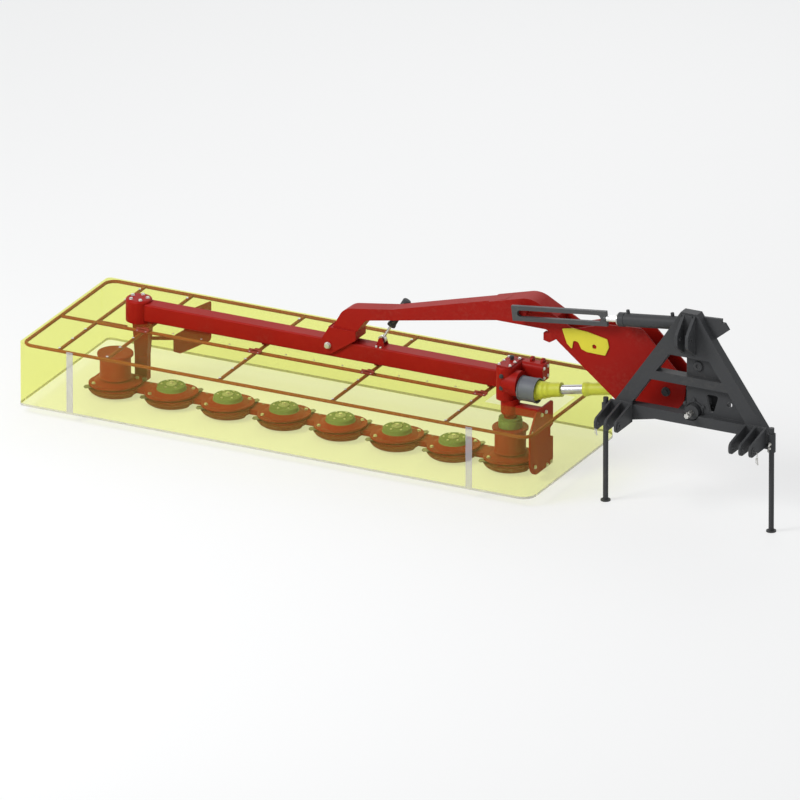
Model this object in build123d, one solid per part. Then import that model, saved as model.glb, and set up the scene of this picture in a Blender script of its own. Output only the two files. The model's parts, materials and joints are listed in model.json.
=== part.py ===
"""Rear-mounted disc mower, parked on its two stands and its cutter bar, in millimetres.

The drawing frame has its origin on the ground under the middle of the lower link pins: +X is the
machine's side away from the cutter bar, +Y points away from the tractor and +Z is up. Each piece is
moved at the end so that the part's origin lies under the middle of its bounding box.
"""

import math
import os

from build123d import *

os.makedirs("parts", exist_ok=True)

# Clearances
pin_clearance = 0.08
running_gap = 0.3
swing_gap = 6.0
eye_clearance = 8.5

# Hitch: lower link ears, top link ears and the frame that carries them
link_pin_height = 606.0
link_pin_radius = 14.4
link_ear_first = 400.0
link_ear_pitch = 70.0
link_ear_count = 3
link_ear_thickness = 15.0
link_ear_tip = 38.0
mast_height = 610.0
top_pin_radius = 12.9
top_ear_gap = 54.0
top_ear_thickness = 20.0
frame_front = 200.0
frame_depth = 70.0
frame_foot_half = 547.0
frame_foot_bottom = 580.0
frame_shoulder_half = 187.0
frame_shoulder_height = 1170.0
frame_top_half = 58.0
frame_top_rise = 156.0
frame_top_height = link_pin_height + mast_height + frame_top_rise
frame_leg_width = 95.0
frame_heel = 650.0
frame_plate_thickness = 20.0
frame_plate_left = -38.0
frame_plate_top = 880.0
frame_arch_left = -235.0
frame_arch_right = 330.0
frame_arch_height = 615.0
rail_height = 60.0

# Parking stands
stand_reach = 580.0
stand_y = 201.0
stand_radius = 17.0
stand_sleeve_wall = 9.0
stand_sleeve_bottom = 540.0
stand_sleeve_top = 662.0
stand_top = 700.0
stand_foot_radius = 32.0
stand_foot_thickness = 8.0

# Arm, its pivot on the headstock and the pivot over the middle of the cutter bar
lift_x = -250.0
lift_z = 730.0
lift_pin_radius = 30.0
arm_end_radius = 130.0
arm_front = 390.0
arm_width = 148.0
arm_plate = 12.0
boom_width = 112.0
tilt_x = -2665.0
tilt_z = 588.0
tilt_pin_radius = 22.0
tilt_limit = 6.0
cheek_radius = 58.0
cheek_thickness = 12.0

# Cutter bar and its discs
disc_count = 8
disc_pitch = 400.0
disc_first_x = -4163.0
bar_y = 430.0
bar_half_width = 150.0
bar_depth_rear = 130.0
bar_end_reach = 180.0
bar_bottom = 26.0
bar_thickness = 36.0
disc_major = 174.0
disc_minor = 145.0
disc_bottom = 72.0
disc_rim_height = 12.0
disc_crown_height = 34.0
disc_crown_radius = 92.0
cap_radius = 52.0
cap_height = 10.0
knife_tip_radius = 215.0
knife_width = 48.0
knife_thickness = 5.0
knife_root = 122.0
knife_hole = 8.0
disc_rest_angle = 45.0
spindle_radius = 22.0
spindle_depth = 12.0
hub_radius = 45.0
drum_radius = 100.0
drum_height = 164.0
hub_cover_radius = 73.0
hub_cover_height = 62.0
drum_lip_radius = 116.0
drum_lip_height = 14.0
shoe_width = 150.0

# Carrier beam
beam_y = 530.0
beam_width = 110.0
beam_height = 116.0
beam_bottom = 505.0
beam_outer_x = -4100.0
beam_edge = 10.0
beam_inner_x = -1450.0

# Gearbox on the beam's inner end, with the bell and the drive shaft
gearbox_width_x = 120.0
gearbox_bottom = 472.0
gearbox_top = 694.0
gearbox_front = 355.0
gearbox_flange = 40.0
gearbox_edge = 14.0
drive_x = -1190.0
drive_z = 555.0
bell_radius = 82.0
bell_wall = 6.0
bell_length = 127.0
cone_radius = 66.0
tube_radius = 40.0
inner_tube_radius = 30.0
cross_radius = 13.0
cross_half = 38.0
yoke_ear = 16.0
yoke_reach = 50.0

# Cover
cover_outer_x = -4555.0
cover_inner_x = -938.0
cover_front_y = -153.0
cover_rear_y = 1099.0
cover_top = 488.0
cover_bottom = 60.0
cover_sheet = 4.0
cover_corner = 90.0
cover_outer_corner = 34.0
rail_size = 22.0
rail_bend = 70.0
hinge_rail_y = 397.0
cross_rail_first_x = -3940.0
cross_rail_pitch = 798.0
cross_rail_count = 4
end_cross_rail_x = -4279.0
notch_x0 = -1465.0
notch_x1 = -985.0
notch_y = 260.0

# Cylinder between the headstock and the arm
cylinder_y = 325.0
cylinder_base_x = -90.0
cylinder_base_drop = 128.0
cylinder_base_z = frame_top_height - cylinder_base_drop
cylinder_pin_x = -1237.0
cylinder_pin_z = 1108.0
barrel_radius = 46.0
rod_radius = 20.0

# Damper between the boom and the beam
damper_top_x = -2195.0
damper_top_y = 612.0
damper_top_z = 897.0
damper_foot_x = -2325.0
damper_foot_y = 548.0
damper_foot_rise = 36.0
damper_radius = 28.0
damper_rod_radius = 9.0
damper_pin_radius = 12.0

# Swath board at the rear of the cover's outer end
swath_low = 200.0
swath_high = 470.0
swath_thickness = 6.0

# Levels and lines worked out from the sizes above
arm_rear = arm_front + arm_width
beam_top = beam_bottom + beam_height
beam_front = beam_y - beam_width / 2
beam_rear = beam_y + beam_width / 2
disc_last_x = disc_first_x + disc_pitch * (disc_count - 1)
frame_rear = frame_front + frame_depth
bar_top = bar_bottom + bar_thickness
bar_start = disc_first_x - bar_end_reach
bar_end = disc_last_x + bar_end_reach
sweep_rear = bar_y + knife_tip_radius
drum_top = disc_bottom + disc_crown_height + cap_height + drum_height
hub_cover_top = drum_top + hub_cover_height
sheet_under = cover_top - cover_sheet
rail_z = sheet_under - rail_size / 2

# The part's own origin: the middle of the box from the cover's outer end to the right stand
box_right = stand_reach + stand_foot_radius
origin_x = (cover_outer_x + box_right) / 2
origin_y = (cover_front_y + cover_rear_y) / 2


def block(x0, x1, y0, y1, z0, z1):
    """A plain block between six planes."""
    return Pos((x0 + x1) / 2, (y0 + y1) / 2, (z0 + z1) / 2) * Box(x1 - x0, y1 - y0, z1 - z0)


def bar_between(start, end, radius):
    """A round bar from one point to another."""
    line = Vector(*end) - Vector(*start)
    plane = Plane(origin=start, z_dir=line)
    return plane.location * extrude(Circle(radius), line.length)


def along_y(sketch, y0, y1):
    """A sketch drawn in X and Z, made into a plate between two planes across Y."""
    return extrude(Plane.XZ.offset(-y1).location * sketch, y1 - y0)


def along_x(sketch, x0, x1):
    """A sketch drawn in Y and Z, made into a plate between two planes across X."""
    return extrude(Plane.YZ.offset(x0).location * sketch, x1 - x0)


def disc_xz(x, z, radius):
    """A round sketch centred at X and Z."""
    return Pos(x, z) * Circle(radius)


def polygon(points):
    """A closed outline through its corners."""
    return make_face(Polyline(*points, close=True))


def rounded(points, radii):
    """A closed outline through its corners, each with its own radius; 0 leaves it sharp."""
    face = polygon(points)
    for point, radius in zip(points, radii):
        if radius:
            corner = face.vertices().sort_by_distance((point[0], point[1], 0))[0]
            face = fillet(corner, radius)
    return face


def turned(points):
    """A solid turned about Z from its half outline: radius and height of each corner."""
    return revolve(Plane.XZ * polygon(points), Axis.Z)


def save(name, shape):
    """Write one piece in the part's own frame."""
    export_step(Pos(-origin_x, -origin_y, 0) * shape, f"parts/{name}.step")


# Headstock frame
slope = (frame_shoulder_height - frame_heel) / (frame_foot_half - frame_shoulder_half)
leg_across = frame_leg_width * math.hypot(1, slope) / slope
window_rise = 69.0
window_bottom = frame_arch_height + window_rise
window_high_bottom = frame_plate_top + rail_height
window_high_top = 1070.0
input_x = 15.0
input_rise = 85.0
input_z = frame_arch_height + input_rise
input_hole = 54.0


def leg_inside(z):
    """X distance of a leg's inner edge from the middle at a height."""
    return frame_foot_half - (z - frame_heel) / slope - leg_across


def window(bottom, top, left_bottom, left_top):
    """The part of the space between the legs that lies right of a slanted or upright line."""
    return polygon(
        [(left_bottom, bottom), (left_top, top), (leg_inside(top), top), (leg_inside(bottom), bottom)]
    )


frame_outline = polygon(
    [
        (-frame_foot_half, frame_foot_bottom),
        (-frame_foot_half, frame_heel),
        (-frame_shoulder_half, frame_shoulder_height),
        (-frame_top_half, frame_top_height),
        (frame_top_half, frame_top_height),
        (frame_shoulder_half, frame_shoulder_height),
        (frame_foot_half, frame_heel),
        (frame_foot_half, frame_foot_bottom),
        (link_ear_first, frame_foot_bottom),
        (frame_arch_right, frame_arch_height),
        (frame_arch_left, frame_arch_height),
        (-link_ear_first, frame_foot_bottom),
    ]
)
frame_face = frame_outline
for low, high in ((window_bottom, frame_plate_top), (window_high_bottom, window_high_top)):
    frame_face -= window(low, high, -leg_inside(low), -leg_inside(high))
headstock = along_y(frame_face, frame_front, frame_rear)

# The rear plate closes the right half of both windows, apart from its own holes: X, Z and radius
web_holes = [(262, 781, 18), (43, 1005, 34), (input_x, input_z, input_hole)]
wedge_hole = rounded([(95, 825), (185, 825), (152, 708), (124, 708)], [16, 16, 12, 12])
web = window(window_bottom, frame_plate_top, frame_plate_left, frame_plate_left)
web += window(window_high_bottom, window_high_top, frame_plate_left, frame_plate_left)
web_rear = frame_rear - frame_plate_thickness
headstock += along_y(web, web_rear, frame_rear)
for x, z, radius in web_holes:
    headstock -= along_y(disc_xz(x, z, radius), frame_front - 1, frame_rear + 1)
headstock -= along_y(wedge_hole, web_rear - 1, frame_rear + 1)

# Hose holder on the right of the top: X and Z of its corners
holder_points = [(72, 1342), (205, 1350), (205, 1326), (226, 1326), (255, 1284), (154, 1202), (120, 1260)]
headstock += along_y(polygon(holder_points), web_rear, frame_rear)
save("headstock_frame", headstock)

# Lower link ears: three a side, welded to the frame's lower corners
ear_heel = 90.0
ear_back = 15.0


def lower_ears(side):
    """The three ears on one side, with the plate that joins them to the frame."""
    ear = rounded(
        [
            (-link_ear_tip, link_pin_height - link_ear_tip),
            (-link_ear_tip, link_pin_height + link_ear_tip),
            (frame_front, link_pin_height + ear_heel),
            (frame_front, link_pin_height - link_ear_tip),
        ],
        [link_ear_tip - 4, link_ear_tip - 4, 0, 0],
    )
    ear -= Pos(0, link_pin_height) * Circle(link_pin_radius)
    ears = None
    for index in range(link_ear_count):
        middle = side * (link_ear_first + index * link_ear_pitch)
        plate = along_x(ear, middle - link_ear_thickness / 2, middle + link_ear_thickness / 2)
        ears = plate if ears is None else ears + plate
    x0, x1 = sorted((side * ear_inner, side * ear_outer))
    low = link_pin_height - link_ear_tip
    return ears + block(x0, x1, frame_front - ear_back, frame_front, low, link_pin_height + ear_heel)


ear_inner = link_ear_first - link_ear_thickness / 2
ear_outer = link_ear_first + (link_ear_count - 1) * link_ear_pitch + link_ear_thickness / 2
save("lower_link_ears", Compound([lower_ears(-1), lower_ears(1)]))

# Top link ears
top_pin_z = link_pin_height + mast_height
top_pin_y = 130.0
top_ear_reach = 40.0
top_ear_foot = 120.0
top_ear_head = frame_top_height - 10
top_ear = rounded(
    [
        (top_pin_y - top_ear_reach, top_pin_z - top_ear_reach),
        (top_pin_y - top_ear_reach, top_pin_z + top_ear_reach),
        (frame_front, top_ear_head),
        (frame_front, top_pin_z - top_ear_foot),
    ],
    [36, 36, 0, 0],
)
top_ear -= Pos(top_pin_y, top_pin_z) * Circle(top_pin_radius)
top_ears = along_x(top_ear, top_ear_gap / 2, top_ear_gap / 2 + top_ear_thickness)
top_ears += along_x(top_ear, -top_ear_gap / 2 - top_ear_thickness, -top_ear_gap / 2)
top_ears += block(
    -top_ear_gap / 2, top_ear_gap / 2, frame_front - 12, frame_front, top_pin_z - top_ear_foot, top_ear_head
)
save("top_link_ears", top_ears)

# Stand sleeves, beside the frame's lower corners
sleeve_radius = stand_radius + stand_sleeve_wall


def stand_sleeve(side):
    """Sleeve that a stand slides in, with its bracket to the frame."""
    x = side * stand_reach
    sleeve = bar_between((x, stand_y, stand_sleeve_bottom), (x, stand_y, stand_sleeve_top), sleeve_radius)
    x0, x1 = sorted((side * (frame_foot_half - 20), x))
    sleeve += block(x0, x1, stand_y + 4, stand_y + 20, stand_sleeve_bottom + 8, frame_foot_bottom)
    sleeve -= block(
        -frame_foot_half, frame_foot_half, frame_front, frame_rear, frame_foot_bottom, stand_sleeve_top + 1
    )
    sleeve -= bar_between(
        (x, stand_y, stand_sleeve_bottom - 1),
        (x, stand_y, stand_sleeve_top + 1),
        stand_radius + pin_clearance,
    )
    return sleeve


def stand(side):
    """A stand's tube and its foot."""
    x = side * stand_reach
    tube = bar_between((x, stand_y, 0), (x, stand_y, stand_top), stand_radius)
    return tube + bar_between((x, stand_y, 0), (x, stand_y, stand_foot_thickness), stand_foot_radius)


save("stand_sleeves", Compound([stand_sleeve(-1), stand_sleeve(1)]))
save("stand_left", stand(-1))
save("stand_right", stand(1))

# Bracket behind the frame that holds the arm's pivot
bracket_thickness = 12.0
lift_pin_head = 10.0
bracket_radius = 92.0
bridge_left = -60.0
bridge_right = 150.0
bridge_drop = 15.0
bridge_thickness = 28.0
bridge_bottom = frame_arch_height - bridge_drop
bridge_top = bridge_bottom + bridge_thickness
gearbox_neck = 40.0
bracket_outline = make_hull(
    (
        disc_xz(lift_x, lift_z, bracket_radius)
        + Pos((bridge_left + bridge_right) / 2, (bridge_bottom + bridge_top) / 2)
        * Rectangle(bridge_right - bridge_left, bridge_top - bridge_bottom)
    ).edges()
)
bracket_outline -= disc_xz(input_x, input_z, input_hole)
bracket_front_y = arm_front + arm_plate + swing_gap
bracket_rear_y = arm_rear - arm_plate - swing_gap
bracket = along_y(bracket_outline, bracket_front_y, bracket_front_y + bracket_thickness)
bracket += along_y(bracket_outline, bracket_rear_y - bracket_thickness, bracket_rear_y)
bracket += block(bridge_left, bridge_right, frame_rear, bracket_rear_y, bridge_bottom, bridge_top)
pin_sketch = disc_xz(lift_x, lift_z, lift_pin_radius)
bracket += along_y(pin_sketch, arm_front - lift_pin_head, bracket_front_y + bracket_thickness)
bracket += along_y(pin_sketch, bracket_rear_y - bracket_thickness, arm_rear + lift_pin_head)
save("arm_bracket", bracket)

# Gearbox in the headstock, with its input shaft towards the tractor
input_radius = 17.4
input_length = 76.0
box_gap = 4.0
box_rise = 65.0
neck_flange = 8.0
neck_flange_rear = frame_rear + 40
housing_front = frame_rear - 60
box_front = bracket_front_y + bracket_thickness + box_gap
box_rear = bracket_rear_y - bracket_thickness - box_gap
box_height = input_z + box_rise
stub_y = (box_front + box_rear) / 2
neck_face = disc_xz(input_x, input_z, gearbox_neck)
flange_face = disc_xz(input_x, input_z, gearbox_neck + neck_flange)
headstock_gearbox = along_y(flange_face, housing_front, neck_flange_rear)
headstock_gearbox += along_y(neck_face, neck_flange_rear, box_front)
headstock_gearbox += block(bridge_left, bridge_right, box_front, box_rear, bridge_top, box_height)
stub_end = lift_x + 58
headstock_gearbox += bar_between((bridge_left, stub_y, lift_z), (stub_end, stub_y, lift_z), 22)
save("headstock_gearbox", headstock_gearbox)
input_shaft = along_y(disc_xz(input_x, input_z, input_radius), housing_front - input_length, housing_front)
save("input_shaft", input_shaft)

# Arm: two plates at the inner end, a closed boom and a fork over the beam
# Corners of the plates: X, Z and the radius of each corner
plate_corners = [
    (-1500, 1115, 0),
    (-1202, 1195, 160),
    (-905, 1035, 60),
    (-688, 1105, 60),
    (-426, 1125, 50),
    (-118, 822, 30),
    (-118, 700, 0),
    (-160, 600, 0),
    (-600, 606, 30),
    (-1000, 925, 40),
    (-1085, 1000, 60),
    (-1500, 1000, 0),
]
plate_face = rounded([(x, z) for x, z, r in plate_corners], [r for x, z, r in plate_corners])
plate_face = plate_face - Pos(-120, 620) * Rectangle(200, 200)
plate_face += disc_xz(lift_x, lift_z, arm_end_radius)
plate_face -= disc_xz(lift_x, lift_z, lift_pin_radius + pin_clearance)
arm = along_y(plate_face, arm_front, arm_front + arm_plate)
arm += along_y(plate_face, arm_rear - arm_plate, arm_rear)
box_core = plate_face & (Pos(-1260, 1050) * Rectangle(480, 500))
arm += along_y(box_core, arm_front, arm_rear)

# Corners of the boom: X, Z and radius
boom_corners = [
    (-1380, 1148, 0),
    (-2210, 912, 60),
    (-2560, 852, 110),
    (-2650, 690, 0),
    (-2480, 690, 0),
    (-2400, 800, 50),
    (-2150, 850, 60),
    (-1380, 1005, 0),
]
boom_face = rounded([(x, z) for x, z, r in boom_corners], [r for x, z, r in boom_corners])
boom_turn_x = -1400.0
arm_middle = arm_front + arm_width / 2
boom_run = boom_turn_x - tilt_x
boom_angle = math.degrees(math.atan2(beam_y - arm_middle, boom_run))
boom = along_y(boom_face, -boom_width / 2, boom_width / 2)
boom = Pos(boom_turn_x, arm_middle, 0) * Rot(0, 0, -boom_angle) * Pos(-boom_turn_x, 0, 0) * boom
arm += boom
cheek_inner = beam_width / 2 + swing_gap
cheek_outer = cheek_inner + cheek_thickness
fork_x0 = tilt_x + 5
fork_x1 = tilt_x + 195
fork_height = 60.0
fork_top = beam_top + swing_gap + (fork_x1 - tilt_x) * math.sin(math.radians(tilt_limit)) + 4
cheek_face = make_hull(
    (
        disc_xz(tilt_x, tilt_z, cheek_radius)
        + Pos((fork_x0 + fork_x1) / 2, fork_top + fork_height / 2) * Rectangle(fork_x1 - fork_x0, fork_height)
    ).edges()
)
cheek_face -= disc_xz(tilt_x, tilt_z, tilt_pin_radius + pin_clearance)
arm += along_y(cheek_face, beam_y - cheek_outer, beam_y - cheek_inner)
arm += along_y(cheek_face, beam_y + cheek_inner, beam_y + cheek_outer)
arm += block(
    fork_x0, fork_x1, beam_y - cheek_outer, beam_y + cheek_outer, fork_top, fork_top + fork_height
)
boss_end = cylinder_y + 16
arm += along_y(disc_xz(cylinder_pin_x, cylinder_pin_z, 30), boss_end, arm_front)

# Stop lug under the bend of the front plate: X and Z of its corners
stop_points = [(-1112, 975), (-1112, 925), (-1070, 915), (-1030, 940), (-1030, 990)]
arm += along_y(polygon(stop_points), arm_front, arm_front + 3 * arm_plate)
save("swing_arm", arm)

tilt_pin_half = cheek_outer + 8
tilt_pin = along_y(disc_xz(tilt_x, tilt_z, tilt_pin_radius), beam_y - tilt_pin_half, beam_y + tilt_pin_half)
save("tilt_pin", tilt_pin)

# Latch hook on the arm's front face: X, Z and radius of each corner
latch_corners = [
    (-979, 1029, 8),
    (-904, 1043, 10),
    (-802, 1037, 30),
    (-661, 1010, 14),
    (-649, 957, 20),
    (-676, 898, 8),
    (-802, 900, 8),
    (-842, 913, 6),
    (-866, 958, 18),
    (-900, 962, 16),
    (-908, 901, 6),
    (-944, 933, 8),
]
latch_thickness = 6.0
latch_face = rounded([(x, z) for x, z, r in latch_corners], [r for x, z, r in latch_corners])
latch_face -= disc_xz(-751, 945, 15)
save("latch_hook", along_y(latch_face, arm_front - latch_thickness, arm_front))

# Carrier beam, a closed box kept solid inside, with the bush of the middle pivot and the lug of the damper
beam = block(beam_outer_x, beam_inner_x, beam_front, beam_rear, beam_bottom, beam_top)
beam = fillet(beam.edges().filter_by(Axis.X), beam_edge)
bush = disc_xz(tilt_x, tilt_z, tilt_pin_radius + 10)
beam += along_y(bush, beam_front, beam_rear)
beam -= along_y(disc_xz(tilt_x, tilt_z, tilt_pin_radius + pin_clearance), beam_front - 1, beam_rear + 1)
damper_foot_z = beam_top + damper_foot_rise
eye_inner = 18.0
eye_outer = 26.0
lug_half = 30.0
lug_plate = 10.0
beam += along_y(
    disc_xz(damper_foot_x, damper_foot_z, eye_inner - eye_clearance),
    damper_foot_y - lug_half,
    damper_foot_y + lug_half,
)
lug_face = make_hull(
    (
        disc_xz(damper_foot_x, damper_foot_z, 16)
        + Pos(damper_foot_x, beam_top - 2) * Rectangle(56, 4)
    ).edges()
)
for y0 in (damper_foot_y - lug_half, damper_foot_y + lug_half - lug_plate):
    beam += along_y(lug_face, y0, y0 + lug_plate)
save("carrier_beam", beam)

# Outer leg: a round head over the beam's end and a tapered leg down behind the knives
leg_x = -4022.0
leg_foot_x = -4094.0
leg_top_half = 60.0
leg_foot_half = 44.0
leg_ankle = 190.0
leg_front = sweep_rear + 6
leg_rear = leg_front + 52
head_x = -4044.0
head_radius = 85.0
head_top = 640.0
bar_rear = bar_y + bar_depth_rear
leg_side = polygon(
    [
        (beam_y - 25, beam_bottom),
        (beam_y + 45, beam_bottom),
        (leg_rear, leg_ankle),
        (leg_rear, bar_bottom),
        (bar_rear, bar_bottom),
        (bar_rear, bar_top - 6),
        (leg_front, bar_top - 6),
        (leg_front, leg_ankle),
    ]
)
leg_taper = polygon(
    [
        (leg_x - leg_top_half, beam_bottom),
        (leg_x + leg_top_half, beam_bottom),
        (leg_foot_x + leg_foot_half, leg_ankle),
        (leg_foot_x + leg_foot_half, 0),
        (leg_foot_x - leg_foot_half, 0),
        (leg_foot_x - leg_foot_half, leg_ankle),
    ]
)
outer_leg = along_x(leg_side, leg_foot_x - leg_foot_half, leg_x + leg_top_half)
outer_leg &= along_y(leg_taper, bar_y, leg_rear + 1)
outer_leg -= bar_between(
    (disc_first_x, bar_y, 0), (disc_first_x, bar_y, bar_top), bar_half_width + running_gap
)
head = bar_between((head_x, beam_y, cover_top + 2), (head_x, beam_y, head_top), head_radius)
head = fillet(head.edges().group_by(Axis.Z)[-1], 14)
head -= block(
    beam_outer_x - running_gap,
    head_x + head_radius + 1,
    beam_front - running_gap,
    beam_rear + running_gap,
    beam_bottom,
    beam_top + running_gap,
)
save("outer_leg", outer_leg + head)

# Gearbox on the beam's inner end: a round-fronted case, the drive's flange and the housing down to the drum
gearbox_x0 = beam_inner_x
gearbox_x1 = beam_inner_x + gearbox_width_x
case_radius = gearbox_width_x / 2
case_x = gearbox_x0 + case_radius
case_y = gearbox_front + case_radius
case_plan = make_hull(
    (
        Pos(case_x, case_y) * Circle(case_radius)
        + Pos(case_x, beam_y) * Rectangle(gearbox_width_x, beam_width)
    ).edges()
)
case = Pos(0, 0, gearbox_bottom) * extrude(case_plan, gearbox_top - gearbox_bottom)
gearbox = fillet(case.edges().group_by(Axis.Z)[-1], gearbox_edge)
flange_z = drive_z + 25
flange_radius = 84.0
flange_end = gearbox_x1 + gearbox_flange
gearbox += bar_between((case_x, bar_y, flange_z), (flange_end, bar_y, flange_z), flange_radius)

# Rear housing with its two lugs
rear_x1 = gearbox_x1 + 150
rear_y0 = beam_front + 40
rear_y1 = beam_rear + 30
rear_face = rounded([(rear_y0, 575), (rear_y0, 690), (rear_y1, 690), (rear_y1, 575)], [20, 30, 30, 20])
gearbox += along_x(rear_face, case_x, rear_x1)
for x in (gearbox_x1 + 40, rear_x1 - 35):
    gearbox += along_x(disc_xz(beam_rear - 5, 692, 24), x, x + 16)

# Housing under the case, down to the drum, with the arm that holds the side plate
housing_low = 350.0
housing_radius = 62.0
hanger_x1 = side_plate_x = -1138.0
hanger_front = 395.0
hanger_rear = 455.0
gearbox += turned(
    [
        (0, hub_cover_top + running_gap),
        (40, hub_cover_top + running_gap),
        (40, housing_low),
        (housing_radius, housing_low + 30),
        (housing_radius, gearbox_bottom),
        (0, gearbox_bottom),
    ]
).moved(Location((disc_last_x, bar_y, 0)))
gearbox += block(disc_last_x, hanger_x1, hanger_front, hanger_rear, housing_low + 30, housing_low + 90)
gearbox += bar_between((gearbox_x1, bar_y, drive_z), (drive_x, bar_y, drive_z), cross_radius)
gearbox += along_y(disc_xz(drive_x, drive_z, cross_radius), bar_y - cross_half, bar_y + cross_half)
save("bevel_gearbox", gearbox)

# Inner side plate, hung from the gearbox's arm and bolted to the end of the cutter bar: Y, Z and radius
side_plate_thickness = 12.0
side_top = rail_z - rail_size / 2 - 6
side_rear = 560.0
side_corners = [
    (235, 45, 110),
    (235, 330, 60),
    (330, side_top, 30),
    (side_rear, side_top, 20),
    (side_rear, 290, 8),
    (side_rear - 38, 282, 12),
    (side_rear - 38, 218, 12),
    (side_rear, 210, 8),
    (side_rear, 30, 40),
    (330, 30, 0),
]
side_face = rounded([(y, z) for y, z, r in side_corners], [r for y, z, r in side_corners])
side_plate = along_x(side_face, side_plate_x, side_plate_x + side_plate_thickness)
side_plate += block(bar_end, side_plate_x, bar_y, bar_rear, bar_bottom, bar_top - 6)
save("side_plate", side_plate)

# Bell over the joint of the drive: a cup with two thicker rings
bell_start = gearbox_x1 + gearbox_flange
ring_width = 14.0
bell = Plane(origin=(bell_start, bar_y, drive_z), z_dir=(1, 0, 0)).location * turned(
    [
        (cross_radius + running_gap, 0),
        (bell_radius - 8, 0),
        (bell_radius, 8),
        (bell_radius, ring_width),
        (bell_radius - 3, ring_width),
        (bell_radius - 3, bell_length - ring_width),
        (bell_radius, bell_length - ring_width),
        (bell_radius, bell_length),
        (bell_radius - bell_wall, bell_length),
        (bell_radius - bell_wall, bell_wall),
        (cross_radius + running_gap, bell_wall),
    ]
)
save("guard_bell", bell)

# Cutter bar: scalloped housing with its shoes
bar_face = Pos((bar_start + bar_end) / 2, bar_y + bar_depth_rear / 2) * Rectangle(
    bar_end - bar_start, bar_depth_rear
)
for index in range(disc_count):
    bar_face += Pos(disc_first_x + index * disc_pitch, bar_y) * Circle(bar_half_width)
cutter_bar = Pos(0, 0, bar_bottom) * extrude(bar_face, bar_thickness)
for index in range(disc_count):
    centre_x = disc_first_x + index * disc_pitch
    spindle_foot = (centre_x, bar_y, bar_top - spindle_depth)
    hub_top = (centre_x, bar_y, disc_bottom - 3)
    cutter_bar += bar_between((centre_x, bar_y, bar_top), hub_top, hub_radius)
    cutter_bar -= bar_between(spindle_foot, hub_top, spindle_radius + running_gap)
save("cutter_bar", cutter_bar)


# Skid shoes: each a bent plate that wraps under the bar and up its front edge, Y from the bar's line and Z
shoe_points = [
    (-bar_half_width - 8, bar_top - 8),
    (-bar_half_width - 14, bar_top - 14),
    (-bar_half_width + 8, bar_bottom - 12),
    (-90, 0),
    (110, 0),
    (bar_depth_rear, 12),
    (bar_depth_rear, bar_bottom),
    (-bar_half_width + 12, bar_bottom),
]
shoes = None
for index in range(disc_count):
    centre_x = disc_first_x + index * disc_pitch
    shoe_face = Pos(bar_y, 0) * rounded(shoe_points, [0, 0, 24, 60, 60, 0, 0, 0])
    shoe = along_x(shoe_face, centre_x - shoe_width / 2, centre_x + shoe_width / 2)
    shoes = shoe if shoes is None else shoes + shoe
save("skid_shoes", shoes - cutter_bar)

rim_z = disc_bottom + disc_rim_height
crown_z = disc_bottom + disc_crown_height
cap_z = crown_z + cap_height


def oval_disc():
    """One cutting disc, its long axis on X, centred on its own axis at the ground."""
    rim = Pos(0, 0, disc_bottom) * extrude(Ellipse(disc_major, disc_minor), disc_rim_height)
    hat = turned(
        [
            (0, bar_top - spindle_depth + running_gap),
            (spindle_radius, bar_top - spindle_depth + running_gap),
            (spindle_radius, disc_bottom),
            (disc_minor - 8, disc_bottom),
            (disc_minor - 8, rim_z),
            (disc_crown_radius + 14, crown_z - 6),
            (disc_crown_radius, crown_z),
            (cap_radius, crown_z),
            (cap_radius - 4, cap_z),
            (0, cap_z),
        ]
    )
    return rim + hat


def knife_pair():
    """The two knives of a disc, under its rim's ends, each with its hole and slanted cutting edges."""
    half = knife_width / 2
    outline = [
        (knife_root, -half),
        (knife_root, half),
        (knife_tip_radius - 6, half),
        (knife_tip_radius - 2, 0),
        (knife_tip_radius - 18, -half),
    ]
    face = rounded(outline, [10, 10, 4, 0, 4]) - Pos(knife_root + half, 0) * Circle(knife_hole)
    knife = Pos(0, 0, disc_bottom - knife_thickness) * extrude(face, knife_thickness)
    return Compound([knife, Rot(0, 0, 180) * knife])


def drum():
    """The drum that stands on an end disc."""
    return turned(
        [
            (0, cap_z),
            (drum_radius + 6, cap_z),
            (drum_radius, cap_z + 18),
            (drum_radius, drum_top - drum_lip_height - 8),
            (drum_lip_radius, drum_top - drum_lip_height),
            (drum_lip_radius, drum_top - 3),
            (drum_lip_radius - 3, drum_top),
            (0, drum_top),
        ]
    )


for index in range(disc_count):
    place = Pos(disc_first_x + index * disc_pitch, bar_y, 0) * Rot(0, 0, disc_rest_angle)
    save(f"disc_{index + 1}", place * oval_disc())
    save(f"knives_{index + 1}", place * knife_pair())
save("drum_outer", Pos(disc_first_x, bar_y, 0) * drum())

# The inner drum also carries the cover of its hub
hub_cover = turned(
    [
        (0, drum_top - 1),
        (hub_cover_radius, drum_top - 1),
        (hub_cover_radius, hub_cover_top - 8),
        (hub_cover_radius - 8, hub_cover_top),
        (0, hub_cover_top),
    ]
)
save("drum_inner", Pos(disc_last_x, bar_y, 0) * (drum() + hub_cover))

# Cover: sheets and rails. The front part lifts about the hinge rail.
flap_gap = 5.0
flap_rear_y = hinge_rail_y - rail_size / 2 - flap_gap
rear_start_y = flap_rear_y + flap_gap
end_start_y = cover_front_y + cover_corner + 8
end_stop_y = cover_rear_y - cover_corner - 4


def ring_corner(inset):
    """The cover's plan with rounded corners, drawn in by an inset."""
    x0 = cover_outer_x + inset
    x1 = cover_inner_x - inset
    y0 = cover_front_y + inset
    y1 = cover_rear_y - inset
    radii = [cover_outer_corner - inset] * 2 + [cover_corner - inset] * 2
    return rounded([(x0, y0), (x0, y1), (x1, y1), (x1, y0)], radii)


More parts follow.
